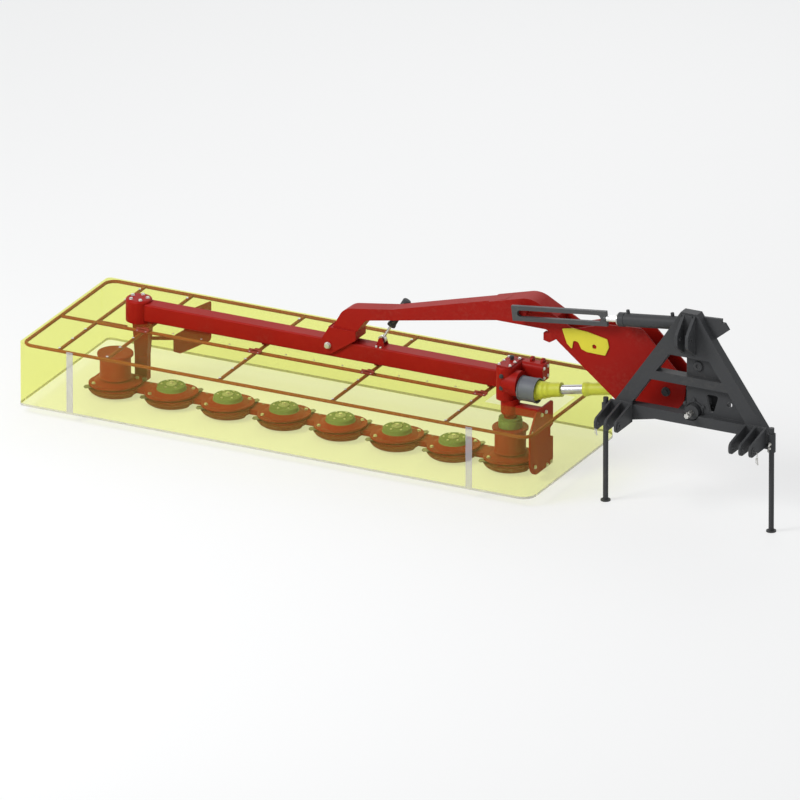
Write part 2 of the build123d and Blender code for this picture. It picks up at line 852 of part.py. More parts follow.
plan = ring_corner(0)
wall = Pos(0, 0, cover_bottom) * extrude(plan - ring_corner(cover_sheet), sheet_under - cover_bottom)
top = Pos(0, 0, sheet_under) * extrude(plan, cover_sheet)
big = 9000.0
front_wall = wall & block(-big, big, -big, cover_front_y + cover_corner, 0, big)
outer_wall = wall & block(-big, cover_outer_x + cover_corner - 8, end_start_y, end_stop_y, 0, big)
inner_wall = wall & block(cover_inner_x - cover_corner + 8, big, end_start_y, end_stop_y, 0, big)
rear_wall = wall & block(-big, big, cover_rear_y - cover_corner, big, 0, big)
notch = block(notch_x0, notch_x1, notch_y, flap_rear_y + 1, 0, big)
top_front = (top & block(-big, big, -big, flap_rear_y, 0, big)) - notch
top_rear = top & block(-big, big, rear_start_y, big, 0, big)
cut_low = sheet_under - 20
cut_high = cover_top + 20
post_hole = block(notch_x0, notch_x1, rear_start_y - 1, beam_y + beam_width / 2 + 15, cut_low, cut_high)
leg_hole = block(
    leg_x - leg_top_half - 12, leg_x + leg_top_half + 4, beam_y - 30, beam_y + leg_top_half, cut_low, cut_high
)
top_rear -= post_hole + leg_hole
save("cover_front", front_wall)
save("cover_top_front", top_front)
save("cover_outer_end", outer_wall)
save("cover_inner_end", inner_wall)
save("cover_rear", rear_wall)
save("cover_top_rear", top_rear)

rail_half = rail_size / 2
rail_inset = cover_sheet + rail_half + 5
hinge_rail_x1 = cross_rail_first_x + (cross_rail_count - 1) * cross_rail_pitch


def tube(points, bend):
    """A round rail at the rails' height through its points in X and Y, bent at each corner between."""
    path = FilletPolyline(*[(x, y, rail_z) for x, y in points], radius=bend)
    section = Plane(origin=path @ 0, z_dir=path % 0).location * Circle(rail_half)
    return sweep(section, path=path)


def straight(x0, y0, x1, y1):
    """A straight round rail at the rails' height."""
    return bar_between((x0, y0, rail_z), (x1, y1, rail_z), rail_half)


outer_rail_x = cover_outer_x + rail_inset
inner_rail_x = cover_inner_x - rail_inset
front_rail_y = cover_front_y + cover_sheet + rail_half
rear_rail_y = cover_rear_y - cover_sheet - rail_half
front_rail = tube(
    [
        (outer_rail_x, flap_rear_y),
        (outer_rail_x, front_rail_y),
        (inner_rail_x, front_rail_y),
        (inner_rail_x, flap_rear_y),
    ],
    rail_bend,
)
rear_rail = tube(
    [
        (outer_rail_x, rear_start_y),
        (outer_rail_x, rear_rail_y),
        (inner_rail_x, rear_rail_y),
        (inner_rail_x, rear_start_y),
    ],
    rail_bend,
)
hinge_rail = straight(outer_rail_x + rail_half, hinge_rail_y, hinge_rail_x1, hinge_rail_y)
front_cross = []
rear_cross = []
cross_rail_places = [cross_rail_first_x + index * cross_rail_pitch for index in range(cross_rail_count)]
for x in [end_cross_rail_x] + cross_rail_places:
    front_cross.append(straight(x, front_rail_y + rail_half * 0.8, x, flap_rear_y - 2) - front_rail)
    rear_cross.append(straight(x, hinge_rail_y, x, rear_rail_y) - rear_rail - hinge_rail)

# Bracket between the end cross rail and the leg's head
bracket_y = hinge_rail_y + rail_half + 12
outer_strap = block(end_cross_rail_x, head_x - 30, bracket_y - 8, bracket_y + 8, rail_z - 8, rail_z + 8)
rear_cross[0] += outer_strap - rear_cross[0]
save("front_rail", front_rail)
save("front_cross_rails", Compound(front_cross))
save("long_rails", hinge_rail)
save("cross_rails", Compound(rear_cross))
save("end_rails", rear_rail)

# Hinges of the front part: leaves and knuckles on top of the sheets
hinge_y = flap_rear_y + 2.5
hinge_z = cover_top + 8
knuckle_radius = 5.0
knuckle_half = 20.0
leaf_half = 45.0
leaf_reach = 42.0
leaf_start = 8.0
leaf_top = cover_top + 3
flap_leaves = []
rear_leaves = []
for index in range(cross_rail_count):
    x = cross_rail_first_x + index * cross_rail_pitch
    leaf = block(
        x - leaf_half, x + leaf_half, hinge_y - leaf_reach, hinge_y - leaf_start, cover_top, leaf_top
    )
    for side in (-1, 1):
        x0, x1 = sorted((x + side * (knuckle_half + 1), x + side * leaf_half))
        leaf += bar_between((x0, hinge_y, hinge_z), (x1, hinge_y, hinge_z), knuckle_radius)
        leaf += block(x0, x1, hinge_y - 9, hinge_y, cover_top + 1, hinge_z - 1)
    flap_leaves.append(leaf)
    leaf = block(
        x - knuckle_half, x + knuckle_half, hinge_y + leaf_start, hinge_y + leaf_reach, cover_top, leaf_top
    )
    leaf += bar_between(
        (x - knuckle_half, hinge_y, hinge_z), (x + knuckle_half, hinge_y, hinge_z), knuckle_radius
    )
    leaf += block(x - knuckle_half, x + knuckle_half, hinge_y, hinge_y + 9, cover_top + 1, hinge_z - 1)
    rear_leaves.append(leaf)
save("flap_hinges", Compound(flap_leaves))
save("rear_hinges", Compound(rear_leaves))

# Pads between the beam and the cross rails
pad_half_x = 15.0
pad_half_y = 30.0
pads = None
for x in cross_rail_places:
    pad = block(
        x - pad_half_x, x + pad_half_x, beam_y - pad_half_y, beam_y + pad_half_y, cover_top, beam_bottom
    )
    pads = pad if pads is None else pads + pad
save("cover_pads", pads)

# Swath board behind the outer end, on a bar from the leg. Its outline: distance along the board and Z
swath_start = (-3890.0, 712.0)
swath_end = (-3800.0, 1060.0)
swath_length = math.hypot(swath_end[0] - swath_start[0], swath_end[1] - swath_start[1])
swath_angle = math.degrees(math.atan2(swath_end[1] - swath_start[1], swath_end[0] - swath_start[0]))
swath_face = rounded(
    [
        (0, swath_low + 30),
        (0, swath_low + 140),
        (110, swath_low + 150),
        (170, swath_high),
        (swath_length, swath_high),
        (swath_length, swath_low),
        (60, swath_low),
    ],
    [10, 30, 40, 40, 10, 30, 30],
)
swath = Pos(*swath_start, 0) * Rot(0, 0, swath_angle) * along_y(
    swath_face, -swath_thickness / 2, swath_thickness / 2
)
swath_bar_z = 320.0
leg_share = (swath_bar_z - leg_ankle) / (beam_bottom - leg_ankle)
swath_bar_x = leg_foot_x + (leg_x - leg_foot_x) * leg_share
swath_bar_y = leg_rear + (beam_y + 45 - leg_rear) * leg_share - 14
swath_bar_end = (swath_start[0] + 4, swath_start[1] + 10, swath_bar_z)
swath += bar_between((swath_bar_x, swath_bar_y, swath_bar_z), swath_bar_end, 12)
swath -= outer_leg
save("swath_board", swath)

# Cylinder with its slotted link
barrel_line = math.degrees(math.atan2(cylinder_base_z - cylinder_pin_z, cylinder_base_x - cylinder_pin_x))
cylinder_length = math.hypot(cylinder_base_x - cylinder_pin_x, cylinder_base_z - cylinder_pin_z)


def on_cylinder(shape):
    """Place a piece drawn along X from the base pin, towards minus X, on the cylinder's line."""
    return Pos(cylinder_base_x, cylinder_y, cylinder_base_z) * Rot(0, -barrel_line, 0) * shape


gland_length = 40.0
port_radius = 12.0
barrel_end = 458.0
barrel_start = 28.0
base_pin_radius = 16.0
cylinder_eye_radius = 34.0
barrel = bar_between((-barrel_start, 0, 0), (-barrel_end + gland_length, 0, 0), barrel_radius - 3)
barrel += bar_between((-barrel_end + gland_length, 0, 0), (-barrel_end, 0, 0), barrel_radius)
for place in (-80, -barrel_end + gland_length + 25):
    barrel += bar_between((place, 0, 0), (place, 0, barrel_radius + 14), port_radius)
barrel += along_y(Circle(cylinder_eye_radius), -25, 25)
barrel -= along_y(Circle(base_pin_radius + pin_clearance), -60, 60)
barrel -= bar_between((-110, 0, 0), (-barrel_end - 1, 0, 0), rod_radius + pin_clearance)
save("lift_barrel", on_cylinder(barrel))
rod_in = 330.0
eye_reach = 565.0
rod = bar_between((-rod_in, 0, 0), (-eye_reach, 0, 0), rod_radius)
link_half = 50.0
slot_half = 22.0
link_end = cylinder_length + 40
link_face = Pos(-(eye_reach + link_end) / 2, 0) * Rectangle(link_end - eye_reach + 40, link_half * 2)
slot_face = Pos(-(eye_reach + 45 + cylinder_length) / 2, 0) * SlotCenterToCenter(
    cylinder_length - eye_reach - 45, slot_half * 2
)
rod += along_y(link_face - slot_face, -12, 12)
save("lift_rod_link", on_cylinder(rod))
pin_face = disc_xz(cylinder_base_x, cylinder_base_z, base_pin_radius)
cylinder_pin = along_y(pin_face, frame_rear, cylinder_y + 34)
cylinder_pin += along_y(
    disc_xz(cylinder_base_x, cylinder_base_z, cylinder_eye_radius - 2), frame_rear, frame_rear + 6
)
save("cylinder_pin", cylinder_pin)

# Damper between the boom and the beam: its barrel hangs from a pin behind the boom
damper_top = Vector(damper_top_x, damper_top_y, damper_top_z)
damper_foot = Vector(damper_foot_x, damper_foot_y, damper_foot_z)
damper_line = (damper_foot - damper_top).normalized()
damper_length = (damper_foot - damper_top).length
damper_barrel_length = 175.0
damper_head = 30.0
damper_plane = Plane(origin=damper_top, x_dir=(0, 1, 0), z_dir=damper_line)
boom_middle_at_damper = arm_middle + (beam_y - arm_middle) * (boom_turn_x - damper_top.X) / boom_run
boom_rear_at_damper = boom_middle_at_damper + boom_width / 2 / math.cos(math.radians(boom_angle))


def on_damper(shape):
    """Place a piece drawn along Z from the upper pin on the damper's line."""
    return damper_plane.location * shape


damper_barrel = on_damper(
    turned(
        [
            (0, -damper_head),
            (damper_radius - 6, -damper_head),
            (damper_radius, -damper_head + 6),
            (damper_radius, damper_head),
            (damper_radius - 4, damper_head + 4),
            (damper_radius - 4, damper_barrel_length - 20),
            (damper_radius, damper_barrel_length - 16),
            (damper_radius, damper_barrel_length),
            (0, damper_barrel_length),
        ]
    )
)
damper_barrel -= along_y(
    disc_xz(damper_top.X, damper_top.Z, damper_pin_radius + pin_clearance),
    damper_top.Y - 60,
    damper_top.Y + 60,
)
damper_barrel -= on_damper(
    Pos(0, 0, 60) * extrude(Circle(damper_rod_radius + pin_clearance), damper_barrel_length)
)
save("damper_barrel", damper_barrel)
damper_pin = along_y(
    disc_xz(damper_top.X, damper_top.Z, damper_pin_radius), boom_rear_at_damper + 0.8, damper_top.Y + 40
)
save("damper_pin", damper_pin)
eye_half = 12.0
damper_rod_start = 110.0
damper_rod_length = damper_length - damper_rod_start - eye_inner - 3
damper_rod = on_damper(Pos(0, 0, damper_rod_start) * extrude(Circle(damper_rod_radius), damper_rod_length))
damper_rod += along_y(
    disc_xz(damper_foot.X, damper_foot.Z, eye_outer), damper_foot.Y - eye_half, damper_foot.Y + eye_half
)
damper_rod -= along_y(
    disc_xz(damper_foot.X, damper_foot.Z, eye_inner),
    damper_foot.Y - eye_half - 1,
    damper_foot.Y + eye_half + 1,
)
save("damper_rod", damper_rod)

# Drive shaft from the bell to the arm's pivot
drive_far_y = stub_y
drive_start = (drive_x, bar_y, drive_z)
drive_end = (lift_x, drive_far_y, lift_z)
drive_vector = Vector(*drive_end) - Vector(*drive_start)
drive_plane = Plane(origin=drive_start, z_dir=drive_vector)
drive_length = drive_vector.length
neck_radius = 46.0
cone_mouth = -10.0
cone_end = 115.0
neck_end = 190.0
inner_tube_end = 350.0
collar_length = 45.0
drive_tail = bracket_radius + 20
cone_inner = cross_half + swing_gap
cone_points = [(cone_inner, yoke_reach), (cone_inner, cone_mouth), (cone_radius, cone_mouth)]
rib_count = 4
rib_pitch = (cone_end - cone_mouth) / rib_count
for index in range(rib_count):
    z = cone_mouth + index * rib_pitch
    radius = cone_radius - (cone_radius - neck_radius) * index / rib_count
    cone_points += [(radius, z + rib_pitch / 2), (radius - 6, z + rib_pitch)]
shaft = turned(
    cone_points
    + [
        (neck_radius, cone_end + 4),
        (neck_radius, neck_end),
        (inner_tube_radius, neck_end),
        (inner_tube_radius, inner_tube_end),
        (tube_radius + 6, inner_tube_end),
        (tube_radius + 6, inner_tube_end + collar_length / 2),
        (tube_radius, inner_tube_end + collar_length),
        (tube_radius, drive_length - drive_tail),
        (inner_tube_radius, drive_length - drive_tail),
        (inner_tube_radius, drive_length),
        (0, drive_length),
        (0, yoke_reach),
    ]
)
shaft = drive_plane.location * shaft
yoke = disc_xz(drive_x, drive_z, cross_radius + 8) + Pos(drive_x + yoke_reach / 2, drive_z + 8) * Rectangle(
    yoke_reach + 8, 2 * cross_radius + 8
)
for y0 in (bar_y - cross_half, bar_y + cross_half - yoke_ear):
    shaft += along_y(yoke, y0, y0 + yoke_ear)
shaft -= along_y(
    disc_xz(drive_x, drive_z, cross_radius + running_gap), bar_y - cross_half - 1, bar_y + cross_half + 1
)
save("drive_shaft", shaft)
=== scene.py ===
"""Dresses the parked disc mower: finishes for every piece, its small fittings, the light and the camera."""

import json
import math
import random

import bmesh
import bpy
from mathutils import Matrix, Vector


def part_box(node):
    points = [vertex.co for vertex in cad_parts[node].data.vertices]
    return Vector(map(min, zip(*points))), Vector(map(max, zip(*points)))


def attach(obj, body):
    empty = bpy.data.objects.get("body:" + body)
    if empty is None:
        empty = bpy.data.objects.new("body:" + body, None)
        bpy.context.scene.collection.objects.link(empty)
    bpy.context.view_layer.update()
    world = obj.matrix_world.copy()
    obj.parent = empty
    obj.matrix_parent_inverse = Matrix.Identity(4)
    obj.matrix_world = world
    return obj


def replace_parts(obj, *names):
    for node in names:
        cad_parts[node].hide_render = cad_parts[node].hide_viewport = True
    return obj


random.seed(7)
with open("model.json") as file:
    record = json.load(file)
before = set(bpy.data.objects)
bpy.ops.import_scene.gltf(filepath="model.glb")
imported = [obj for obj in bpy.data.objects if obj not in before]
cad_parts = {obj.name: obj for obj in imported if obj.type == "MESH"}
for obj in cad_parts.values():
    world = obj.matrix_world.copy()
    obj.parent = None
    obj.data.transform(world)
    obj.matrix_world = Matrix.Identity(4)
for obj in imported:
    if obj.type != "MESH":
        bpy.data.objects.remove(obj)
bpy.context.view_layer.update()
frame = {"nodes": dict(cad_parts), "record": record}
nodes = frame["nodes"]

# The hitch's own origin: on the ground under the middle of the lower link pins
FRAME_FRONT_Y = 0.200
frame_low, frame_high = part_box("headstock_frame")
HITCH = Vector(((frame_low[0] + frame_high[0]) / 2, frame_low[1] - FRAME_FRONT_Y, 0))


def at(x, y, z):
    """A point given in millimetres from the hitch, in the frame's metres."""
    return HITCH + Vector((x, y, z)) / 1000


# Camera: the photograph's angle, through a very long lens
AZIMUTH = math.radians(26.5)
ELEVATION = math.radians(22)
SENSOR = 36.0
LENS = 1400.0
PICTURE_WIDTH = 5.061
CAMERA_DISTANCE = PICTURE_WIDTH * LENS / SENSOR
TARGET = at(-2142, 430, 316.5)


class Wire:
    """A shader socket that takes part in sums."""

    def __init__(self, finish, socket):
        self.finish = finish
        self.socket = socket

    def join(self, operation, first, second):
        return self.finish.add("ShaderNodeMath", {"operation": operation}, {0: first, 1: second})

    def __add__(self, other):
        return self.join("ADD", self, other)

    def __radd__(self, other):
        return self.join("ADD", other, self)

    def __sub__(self, other):
        return self.join("SUBTRACT", self, other)

    def __rsub__(self, other):
        return self.join("SUBTRACT", other, self)

    def __mul__(self, other):
        return self.join("MULTIPLY", self, other)

    def __rmul__(self, other):
        return self.join("MULTIPLY", other, self)

    def step(self, low, high):
        """0 below low, 1 above high, and smooth between them."""
        settings = {"interpolation_type": "SMOOTHSTEP"}
        sockets = {"Value": self, 1: low, 2: high, 3: 0.0, 4: 1.0}
        return self.finish.add("ShaderNodeMapRange", settings, sockets)


class Finish:
    """One material under construction."""

    def __init__(self, name):
        self.material = bpy.data.materials.new(name)
        self.material.use_nodes = True
        self.tree = self.material.node_tree
        self.tree.nodes.clear()
        self.place = self.add("ShaderNodeTexCoord", {}, {}, "Object")

    def add(self, kind, settings, sockets, output=0):
        """Any node: its type, its settings, the values or links of its sockets and the output in use."""
        node = self.tree.nodes.new(kind)
        for key, value in settings.items():
            if key == "stops":
                ramp = node.color_ramp
                while len(ramp.elements) < len(value):
                    ramp.elements.new(0.5)
                for element, (position, colour) in zip(ramp.elements, value):
                    element.position = position
                    element.color = colour
            else:
                setattr(node, key, value)
        for key, value in sockets.items():
            if isinstance(value, Wire):
                self.tree.links.new(value.socket, node.inputs[key])
            else:
                node.inputs[key].default_value = value
        return Wire(self, node.outputs[output])

    def noise(self, scale, detail=3.0, roughness=0.55, place=None, output=0):
        sockets = {"Vector": place or self.place, "Scale": scale, "Detail": detail, "Roughness": roughness}
        return self.add("ShaderNodeTexNoise", {}, sockets, output)

    def mix(self, share, first, second, kind="MIX"):
        settings = {"data_type": "RGBA", "blend_type": kind}
        return self.add("ShaderNodeMix", settings, {0: share, 6: colour4(first), 7: colour4(second)}, 2)

    def bump(self, height, distance, strength=1.0, normal=None):
        sockets = {"Height": height, "Distance": distance, "Strength": strength}
        if normal is not None:
            sockets["Normal"] = normal
        return self.add("ShaderNodeBump", {}, sockets)

    def round_edges(self, radius):
        """The normal of edges rounded off by a radius, and how much a point lies on such an edge."""
        soft = self.add("ShaderNodeBevel", {"samples": 4}, {"Radius": radius})
        flat = self.add("ShaderNodeNewGeometry", {}, {}, "Normal")
        facing = self.add("ShaderNodeVectorMath", {"operation": "DOT_PRODUCT"}, {0: soft, 1: flat}, "Value")
        return soft, (1 - facing).step(0.02, 0.25)

    def principled(self, **sockets):
        named = {key.replace("_", " "): colour4(value) for key, value in sockets.items()}
        return self.add("ShaderNodeBsdfPrincipled", {}, named)

    def close(self, shader):
        """The finished material, which shows a shader on its surface."""
        output = self.tree.nodes.new("ShaderNodeOutputMaterial")
        self.tree.links.new(shader.socket, output.inputs["Surface"])
        return self.material


def colour4(value):
    """A colour given as three numbers, with its alpha; anything else as it is."""
    return (*value, 1.0) if isinstance(value, tuple) and len(value) == 3 else value


def paint(name, colour, worn, dust, gloss=0.4, wear=0.45):
    """Sprayed paint on steel: orange peel, a little dust, and edges rubbed lighter."""
    finish = Finish(name)
    soft, edge = finish.round_edges(0.003)
    cloud = finish.noise(2.3, 4.0)
    speck = finish.noise(38.0, 5.0, 0.7)
    peel = finish.noise(420.0, 2.0)
    shade = finish.mix(cloud.step(0.35, 0.7) * 0.35, colour, tuple(c * 0.78 for c in colour))
    dusty = cloud.step(0.45, 0.75) * speck.step(0.42, 0.68) * dust
    shade = finish.mix(dusty, shade, (0.42, 0.36, 0.28))
    rubbed = edge * speck.step(0.38, 0.62) * wear
    shade = finish.mix(rubbed, shade, worn)
    rough = gloss + cloud * 0.12 + dusty * 0.35 + rubbed * 0.15
    normal = finish.bump(peel, 0.0004, 0.35, soft)
    return finish.close(
        finish.principled(
            Base_Color=shade,
            Roughness=rough,
            Normal=normal,
            Specular_IOR_Level=0.09,
            Coat_Weight=0.015,
            Coat_Roughness=0.2,
        )
    )


def steel(name, colour, rough, brushed=90.0, grime=0.3):
    """Bare or plated steel with fine scratches and darker patches of grime."""
    finish = Finish(name)
    soft, edge = finish.round_edges(0.0015)
    stretched = finish.add("ShaderNodeMapping", {}, {"Vector": finish.place, "Scale": (1.0, 12.0, 12.0)})
    scratch = finish.noise(brushed, 4.0, 0.6, stretched)
    patch = finish.noise(14.0, 4.0, 0.6)
    dark = tuple(c * 0.45 for c in colour)
    shade = finish.mix(patch.step(0.4, 0.75) * grime, colour, dark)
    shade = finish.mix(edge * 0.4, shade, tuple(min(1.0, c * 1.35) for c in colour))
    normal = finish.bump(scratch, 0.0003, 0.3, soft)
    return finish.close(
        finish.principled(Base_Color=shade, Metallic=0.9, Roughness=rough + scratch * 0.2, Normal=normal)
    )


def plastic(name, colour, rough=0.42):
    """Moulded plastic with a fine grain and scuffs."""
    finish = Finish(name)
    soft, edge = finish.round_edges(0.003)
    grain = finish.noise(700.0, 2.0)
    scuff = finish.noise(24.0, 5.0, 0.7)
    cloud = finish.noise(4.0, 3.0)
    shade = finish.mix(cloud.step(0.3, 0.7) * 0.3, colour, tuple(c * 0.82 for c in colour))
    shade = finish.mix(edge * scuff.step(0.4, 0.65) * 0.4, shade, tuple(0.5 * c + 0.35 for c in colour))
    normal = finish.bump(grain, 0.0002, 0.3, soft)
    rough_here = rough + scuff.step(0.45, 0.7) * 0.18
    return finish.close(
        finish.principled(Base_Color=shade, Roughness=rough_here, Normal=normal, Specular_IOR_Level=0.4)
    )


def part_way(name, start, end, spans, plain, metal):
    """A plain colour, and bright steel over spans of the line from start to end, in metres."""
    finish = Finish(name)
    axis = (end - start).normalized()
    dot = {"operation": "DOT_PRODUCT"}
    run = finish.add("ShaderNodeVectorMath", dot, {0: finish.place, 1: axis}, "Value")
    along = run - start.dot(axis)
    bare = 0.0
    for low, high in spans:
        bare = bare + along.step(low, low + 0.001) * (1 - along.step(high, high + 0.001))
    soft, edge = finish.round_edges(0.002)
    cloud = finish.noise(9.0, 4.0, 0.6)
    grain = finish.noise(320.0, 2.0)
    base = finish.mix(cloud.step(0.3, 0.75) * 0.3, plain, tuple(c * 0.8 for c in plain))
    shine = finish.mix(cloud.step(0.4, 0.7) * 0.35, metal, tuple(c * 0.7 for c in metal))
    return finish.close(
        finish.principled(
            Base_Color=finish.mix(bare, base, shine),
            Metallic=bare * 0.85,
            Roughness=0.45 - bare * 0.15 + cloud * 0.1,
            Normal=finish.bump(grain, 0.0003, 0.3, soft),
            Specular_IOR_Level=0.4,
        )
    )


def film(name, tint, body, share):
    """See-through coloured sheet: most light passes tinted, a little is scattered and mirrored."""
    finish = Finish(name)
    cloud = finish.noise(1.6, 4.0, 0.6)
    ripple = finish.noise(3.2, 2.0)
    dust = finish.noise(60.0, 4.0, 0.7).step(0.5, 0.8) * cloud.step(0.4, 0.7)
    normal = finish.bump(ripple, 0.01, 0.25)
    clear = finish.add("ShaderNodeBsdfTransparent", {}, {"Color": colour4(tint)})
    solid = finish.principled(
        Base_Color=finish.mix(dust * 0.3, body, (0.8, 0.76, 0.6)),
        Roughness=0.32 + dust * 0.3,
        Normal=normal,
        Specular_IOR_Level=0.5,
    )
    share_here = share + dust * 0.05 + cloud * 0.02
    return finish.close(finish.add("ShaderNodeMixShader", {}, {0: share_here, 1: clear, 2: solid}))


RED = (0.33, 0.0095, 0.006)
GRAPHITE = (0.06, 0.061, 0.063)
DRIVE_START, DRIVE_END = at(-1190, 430, 555), at(-250, 464, 730)
CYLINDER_BASE, CYLINDER_PIN = at(-90, 325, 1244), at(-1237, 325, 1108)

finishes = {
    "red": paint("red_paint_finish", RED, (0.42, 0.07, 0.05), 0.06),
    "dark": paint("graphite_paint_finish", GRAPHITE, (0.2, 0.2, 0.2), 0.08, 0.45),
    "steel": steel("plated_steel_finish", (0.62, 0.61, 0.58), 0.3),
    "blade": steel("blade_steel_finish", (0.27, 0.26, 0.25), 0.42, 60.0, 0.5),
    "latch": paint("yellow_paint_finish", (0.72, 0.64, 0.055), (0.8, 0.76, 0.4), 0.06),
    "guard_yellow": plastic("guard_yellow_finish", (0.56, 0.58, 0.045)),
    "guard_grey": plastic("guard_grey_finish", (0.13, 0.14, 0.16), 0.5),
    "rail": paint("rail_paint_finish", (0.31, 0.055, 0.03), (0.45, 0.2, 0.12), 0.05),
    "film": film("cover_film_finish", (0.965, 0.978, 0.74), (0.9, 0.82, 0.25), 0.03),
    "hem": film("hem_finish", (0.9, 0.89, 0.92), (0.66, 0.64, 0.72), 0.35),
    "cap": paint("cap_finish", (0.2, 0.27, 0.15), (0.4, 0.44, 0.36), 0.08),
    "hub": paint("hub_finish", (0.42, 0.46, 0.36), (0.55, 0.57, 0.5), 0.08),
    "shoe": paint("shoe_finish", (0.21, 0.028, 0.014), (0.3, 0.27, 0.25), 0.3, 0.5, 0.8),
    "rubber": plastic("rubber_finish", (0.035, 0.036, 0.038), 0.6),
    "drive": part_way(
        "drive_finish", DRIVE_START, DRIVE_END, [(0.191, 0.349)], (0.56, 0.58, 0.045), (0.5, 0.5, 0.52)
    ),
    "link": part_way("link_finish", CYLINDER_BASE, CYLINDER_PIN, [(0.3, 0.544)], GRAPHITE, (0.8, 0.8, 0.8)),
}

# Which finish each slot of the record wears
slot_finish = {
    "red_paint": "red",
    "dark_paint": "dark",
    "bright_steel": "steel",
    "blade_steel": "blade",
    "yellow_paint": "latch",
    "guard_yellow": "guard_yellow",
    "guard_grey": "guard_grey",
    "cover_film": "film",
}


def wear(obj, finish):
    """Give a piece one finish all over."""
    obj.data.materials.clear()
    obj.data.materials.append(finishes[finish])


def round_shading(mesh):
    """Smooth shading with sharp edges kept sharp."""
    mesh.shade_smooth()
    mesh.set_sharp_from_angle(angle=math.radians(32))


# Nodes that wear another finish than their slot's
own_finish = {"drive_shaft": "drive", "lift_rod_link": "link"}
for node_name in ("long_rails", "cross_rails", "end_rails", "front_rail", "front_cross_rails"):
    own_finish[node_name] = "rail"
for node_name in ("flap_hinges", "rear_hinges"):
    own_finish[node_name] = "rail"
node_slot = {row["node"]: row["material_slot"] for row in frame["record"]["subparts"]}
for node_name, node in nodes.items():
    wear(node, own_finish.get(node_name, slot_finish[node_slot[node_name]]))


